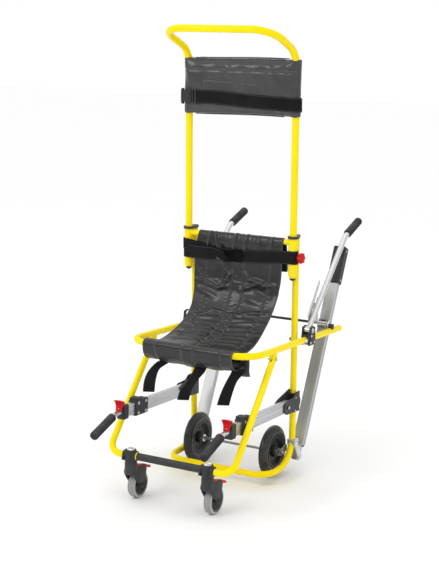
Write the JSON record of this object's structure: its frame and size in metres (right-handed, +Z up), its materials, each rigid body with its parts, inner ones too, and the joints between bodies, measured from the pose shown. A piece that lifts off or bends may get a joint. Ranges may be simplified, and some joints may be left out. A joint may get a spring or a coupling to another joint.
{
  "type": "stair chair",
  "caption": "Folding evacuation stair chair: tube frame with sling seat, telescopic upper handle, front and rear lifting handles, castors, rear wheels and stair skid.",
  "frame": {"origin": "on the floor under the middle of the chair's outline", "axes": "+Z up, the sitter faces -Y, +X is the sitter's left side"},
  "size_m": [0.574, 1.2273, 1.7265],
  "materials": {
    "yellow_paint": "semi-gloss powder coat",
    "alloy": "satin anodised",
    "steel": "bright plated",
    "black_plastic": "moulded, fine grain",
    "grey_plastic": "moulded, fine grain",
    "red_plastic": "moulded, satin",
    "black_rubber": "matt",
    "grip_rubber": "matt, ribbed",
    "grey_tyre": "matt",
    "vinyl": "coated cloth, soft sheen",
    "webbing": "woven"
  },
  "bodies": {
    "back_frame": {"uprights": "yellow_paint", "lower_hoop": "yellow_paint", "handle_sleeves": "yellow_paint", "sleeve_caps": "black_plastic", "sling_crossbar": "yellow_paint", "profile_brackets": "black_plastic", "rear_axle": "steel", "skid_brackets": "steel", "seat_bolts": "steel", "back_sling": "vinyl", "sling_middle": "vinyl", "chest_strap": "webbing"},
    "upper_handle": {"upper_handle": "yellow_paint", "handle_plugs": "black_plastic", "headrest": "vinyl", "headrest_strap": "webbing", "headrest_buckle": "black_plastic"},
    "lock_knob": {"lock_knob": "red_plastic"},
    "seat_frame": {"seat_frame": "yellow_paint", "seat_sling": "vinyl", "hanging_straps": "webbing", "handle_brackets": "black_plastic", "leg_hangers": "yellow_paint"},
    "front_legs": {"legs": "yellow_paint", "leg_bolts": "steel", "castor_housings": "black_plastic", "front_bar": "black_plastic"},
    "profile_clamps": {"profile_clamps": "black_plastic"},
    "side_profiles": {"side_profiles": "alloy", "profile_collars": "black_plastic"},
    "skid": {"skid_rails": "alloy", "skid_strips": "black_plastic", "rail_covers": "black_plastic", "tie_rod": "steel"},
    "lift_handle_left": {"lift_handle_left": "alloy", "lift_grip_left": "grip_rubber"},
    "lift_lever_left": {"lift_lever_left": "steel"},
    "front_handle_left": {"front_handle_left": "alloy", "front_grip_left": "grip_rubber"},
    "front_lever_left": {"front_lever_left": "red_plastic"},
    "skid_lever_left": {"skid_lever_left": "steel"},
    "rear_wheel_left": {"rear_tyre_left": "black_rubber", "rear_rim_left": "black_plastic"},
    "castor_fork_left": {"castor_fork_left": "grey_plastic"},
    "castor_wheel_left": {"castor_tyre_left": "grey_tyre", "castor_disc_left": "grey_plastic"},
    "brake_pedal_left": {"brake_pedal_left": "red_plastic"},
    "lift_handle_right": {"lift_handle_right": "alloy", "lift_grip_right": "grip_rubber"},
    "lift_lever_right": {"lift_lever_right": "steel"},
    "front_handle_right": {"front_handle_right": "alloy", "front_grip_right": "grip_rubber"},
    "front_lever_right": {"front_lever_right": "red_plastic"},
    "skid_lever_right": {"skid_lever_right": "steel"},
    "rear_wheel_right": {"rear_tyre_right": "black_rubber", "rear_rim_right": "black_plastic"},
    "castor_fork_right": {"castor_fork_right": "grey_plastic"},
    "castor_wheel_right": {"castor_tyre_right": "grey_tyre", "castor_disc_right": "grey_plastic"},
    "brake_pedal_right": {"brake_pedal_right": "red_plastic"}
  },
  "joints": [
    {"name": "handle_slide", "type": "slide", "parent": "back_frame", "child": "upper_handle", "axis": [0, 0, -1], "range_m": [0, 0.42]},
    {"name": "knob_turn", "type": "hinge", "parent": "back_frame", "child": "lock_knob", "pos_m": [0.255, 0.0679, 0.868], "axis": [1, 0, 0], "range_deg": [0, 540]},
    {"name": "seat_fold", "type": "hinge", "parent": "back_frame", "child": "seat_frame", "pos_m": [0, 0.1059, 0.541], "axis": [-1, 0, 0], "range_deg": [0, 70], "deforming": ["sling_middle"]},
    {"name": "leg_fold", "type": "hinge", "parent": "seat_frame", "child": "front_legs", "pos_m": [0, -0.1491, 0.528], "axis": [-1, 0, 0], "range_deg": [-92, 0]},
    {"name": "clamp_turn", "type": "hinge", "parent": "front_legs", "child": "profile_clamps", "pos_m": [0, -0.3421, 0.316], "axis": [-1, 0, 0], "range_deg": [0, 80.37]},
    {"name": "profile_slide", "type": "slide", "parent": "profile_clamps", "child": "side_profiles", "axis": [0, -0.998, 0.0632], "range_m": [0, 0.121]},
    {"name": "skid_fold", "type": "hinge", "parent": "back_frame", "child": "skid", "pos_m": [0, 0.1389, 0.06], "axis": [1, 0, 0], "range_deg": [0, 17]},
    {"name": "lift_handle_left_turn", "type": "hinge", "parent": "seat_frame", "child": "lift_handle_left", "pos_m": [-0.264, 0.1399, 0.576], "axis": [-1, 0, 0], "range_deg": [0, 44]},
    {"name": "lift_lever_left_press", "type": "hinge", "parent": "lift_handle_left", "child": "lift_lever_left", "pos_m": [-0.25, 0.1699, 0.612], "axis": [-1, 0, 0], "range_deg": [0, 8], "stiffness_Nm_per_rad": 0.6},
    {"name": "front_handle_left_slide", "type": "slide", "parent": "side_profiles", "child": "front_handle_left", "axis": [0, -0.998, 0.0632], "range_m": [0, 0.2]},
    {"name": "front_lever_left_press", "type": "hinge", "parent": "side_profiles", "child": "front_lever_left", "pos_m": [-0.226, -0.44029, 0.33625], "axis": [-1, 0, 0], "range_deg": [0, 10], "stiffness_Nm_per_rad": 0.6},
    {"name": "skid_lever_left_press", "type": "hinge", "parent": "skid", "child": "skid_lever_left", "pos_m": [-0.197, 0.35968, 0.55113], "axis": [1, 0, 0], "range_deg": [0, 12], "stiffness_Nm_per_rad": 0.6},
    {"name": "rear_wheel_left_spin", "type": "hinge", "parent": "back_frame", "child": "rear_wheel_left", "pos_m": [-0.167, 0.0429, 0.1], "axis": [1, 0, 0], "continuous": true},
    {"name": "castor_left_swivel", "type": "hinge", "parent": "front_legs", "child": "castor_fork_left", "pos_m": [-0.162, -0.4601, 0.14], "axis": [0, 0, 1], "continuous": true},
    {"name": "castor_wheel_left_spin", "type": "hinge", "parent": "castor_fork_left", "child": "castor_wheel_left", "pos_m": [-0.162, -0.4141, 0.0515], "axis": [1, 0, 0], "continuous": true},
    {"name": "brake_pedal_left_press", "type": "hinge", "parent": "castor_fork_left", "child": "brake_pedal_left", "pos_m": [-0.162, -0.4221, 0.112], "axis": [-1, 0, 0], "range_deg": [0, 8]},
    {"name": "lift_handle_right_turn", "type": "hinge", "parent": "seat_frame", "child": "lift_handle_right", "pos_m": [0.264, 0.1399, 0.576], "axis": [-1, 0, 0], "range_deg": [0, 44]},
    {"name": "lift_lever_right_press", "type": "hinge", "parent": "lift_handle_right", "child": "lift_lever_right", "pos_m": [0.25, 0.1699, 0.612], "axis": [-1, 0, 0], "range_deg": [0, 8], "stiffness_Nm_per_rad": 0.6},
    {"name": "front_handle_right_slide", "type": "slide", "parent": "side_profiles", "child": "front_handle_right", "axis": [0, -0.998, 0.0632], "range_m": [0, 0.2]},
    {"name": "front_lever_right_press", "type": "hinge", "parent": "side_profiles", "child": "front_lever_right", "pos_m": [0.226, -0.44029, 0.33625], "axis": [-1, 0, 0], "range_deg": [0, 10], "stiffness_Nm_per_rad": 0.6},
    {"name": "skid_lever_right_press", "type": "hinge", "parent": "skid", "child": "skid_lever_right", "pos_m": [0.197, 0.35968, 0.55113], "axis": [1, 0, 0], "range_deg": [0, 12], "stiffness_Nm_per_rad": 0.6},
    {"name": "rear_wheel_right_spin", "type": "hinge", "parent": "back_frame", "child": "rear_wheel_right", "pos_m": [0.167, 0.0429, 0.1], "axis": [1, 0, 0], "continuous": true},
    {"name": "castor_right_swivel", "type": "hinge", "parent": "front_legs", "child": "castor_fork_right", "pos_m": [0.162, -0.4601, 0.14], "axis": [0, 0, 1], "continuous": true},
    {"name": "castor_wheel_right_spin", "type": "hinge", "parent": "castor_fork_right", "child": "castor_wheel_right", "pos_m": [0.162, -0.4141, 0.0515], "axis": [1, 0, 0], "continuous": true},
    {"name": "brake_pedal_right_press", "type": "hinge", "parent": "castor_fork_right", "child": "brake_pedal_right", "pos_m": [0.162, -0.4221, 0.112], "axis": [-1, 0, 0], "range_deg": [0, 8]}
  ],
  "couplings": [
    {"joint": "leg_fold", "follows": "seat_fold", "ratio": -1.3143},
    {"joint": "clamp_turn", "follows": "seat_fold", "ratio": 1.1482},
    {"joint": "profile_slide", "follows": "seat_fold", "m_per_rad": 0.099038}
  ]
}
